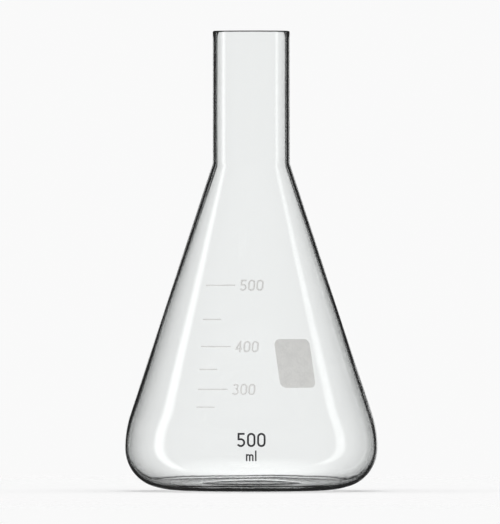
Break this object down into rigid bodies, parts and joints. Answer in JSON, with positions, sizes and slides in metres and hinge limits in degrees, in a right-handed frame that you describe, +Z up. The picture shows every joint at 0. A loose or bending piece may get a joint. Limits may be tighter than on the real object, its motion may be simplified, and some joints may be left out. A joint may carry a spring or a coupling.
{
  "type": "erlenmeyer flask",
  "caption": "Conical laboratory flask in clear glass with a tall straight neck, a rounded heel, a pushed-up base and fired enamel graduations.",
  "frame": {"origin": "centre of the base ring, in the plane of the table", "axes": "+Z up along the flask's axis, -Y the front with the capacity mark, +X to the right as seen from the front"},
  "size_m": [0.105, 0.1051, 0.1905],
  "materials": {
    "borosilicate_glass": "polished",
    "dark_enamel": "satin",
    "white_enamel": "satin",
    "matt_enamel": "matte"
  },
  "bodies": {
    "root": {"vessel": "borosilicate_glass", "capacity_mark": "dark_enamel", "graduation_lines": "white_enamel", "graduation_numerals": "white_enamel", "marking_spot": "matt_enamel"}
  },
  "joints": []
}
